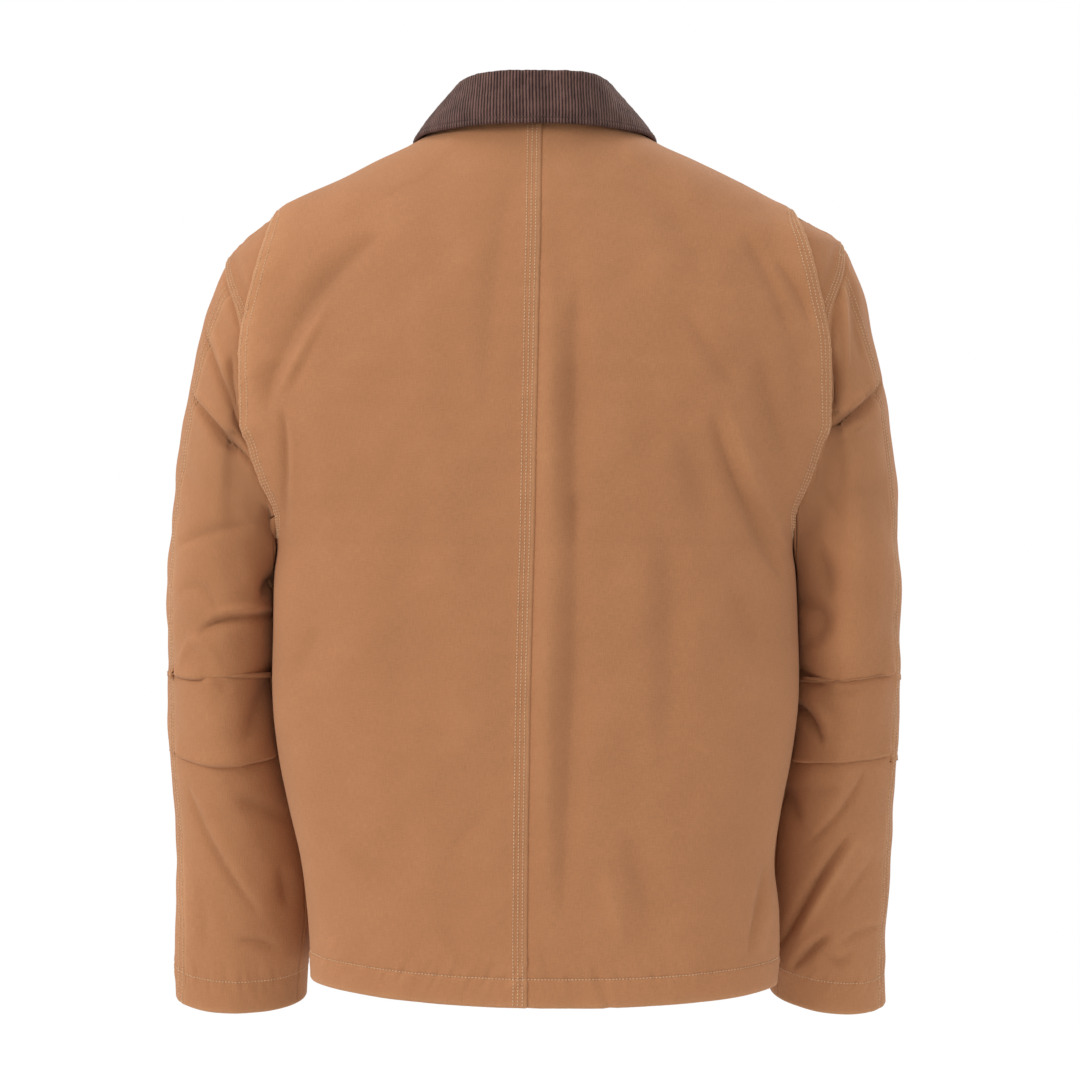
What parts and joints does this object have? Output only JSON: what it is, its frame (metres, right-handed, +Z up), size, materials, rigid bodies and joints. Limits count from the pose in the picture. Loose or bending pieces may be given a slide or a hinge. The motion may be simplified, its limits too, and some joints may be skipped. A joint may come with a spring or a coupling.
{
  "type": "chore jacket",
  "caption": "Worn chore jacket in tan duck canvas with a corduroy collar, action-back pleats, buttoned front and patch pockets, as a hollow garment with no wearer.",
  "frame": {"origin": "middle of the neck opening, level with the back neck seam, where the wearer's neck and shoulders hold the jacket", "axes": "+Z up, the jacket faces -Y, the wearer's left is +X"},
  "size_m": [0.6041, 0.2857, 0.7654],
  "materials": {
    "duck_canvas": "matt tan cotton duck, plain weave, lighter tan topstitching",
    "corduroy": "dark brown cotton corduroy, wales running from the fold to the edge",
    "button": "dark brown, satin"
  },
  "bodies": {
    "root": {"back_left": "duck_canvas", "back_right": "duck_canvas", "back_pleat_left": "duck_canvas", "back_pleat_right": "duck_canvas", "front_left": "duck_canvas", "front_right": "duck_canvas", "top_sleeve_left": "duck_canvas", "top_sleeve_right": "duck_canvas", "under_sleeve_left": "duck_canvas", "under_sleeve_right": "duck_canvas", "pocket_left": "duck_canvas", "pocket_right": "duck_canvas", "collar": "corduroy", "button_1": "button", "button_2": "button", "button_3": "button", "button_4": "button", "button_5": "button"}
  },
  "joints": []
}
